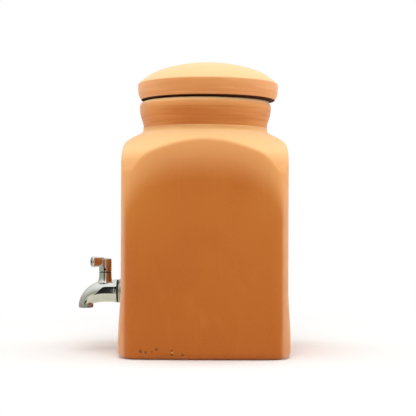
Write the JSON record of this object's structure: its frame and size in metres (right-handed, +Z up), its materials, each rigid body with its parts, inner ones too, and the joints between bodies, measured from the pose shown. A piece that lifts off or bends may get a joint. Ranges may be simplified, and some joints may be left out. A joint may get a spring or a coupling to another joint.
{
  "type": "terracotta water jar",
  "caption": "Squared earthenware water jar with a round neck, a loose domed lid and a chromed lever tap low on one face.",
  "frame": {"origin": "centre of the foot of the jar, on the surface that it stands on", "axes": "+Z up along the neck's axis, -Y towards the tap, +X towards the face that the picture shows"},
  "size_m": [0.2102, 0.2636, 0.359],
  "materials": {
    "terracotta": "unglazed, matt",
    "chrome": "polished",
    "steel": "satin",
    "brass": "turned",
    "rubber": "matt black"
  },
  "bodies": {
    "jar": {"jar_body": "terracotta", "tap_body": "chrome", "gland_bush": "brass", "slip_ring": "rubber", "escutcheon": "steel", "outer_gasket": "rubber", "inner_gasket": "rubber", "inner_washer": "steel", "lock_nut": "steel"},
    "lid": {"lid": "terracotta"},
    "tap_lever": {"tap_handle": "chrome", "valve_plug": "brass", "lower_o_ring": "rubber", "upper_o_ring": "rubber", "handle_grub_screw": "steel"}
  },
  "joints": [
    {"name": "lid_lift", "type": "slide", "parent": "jar", "child": "lid", "axis": [0, 0, 1], "range_m": [0, 0.06]},
    {"name": "tap_turn", "type": "hinge", "parent": "jar", "child": "tap_lever", "pos_m": [0, -0.1252, 0.0728], "axis": [0, 0, 1], "range_deg": [-25, 65]}
  ]
}
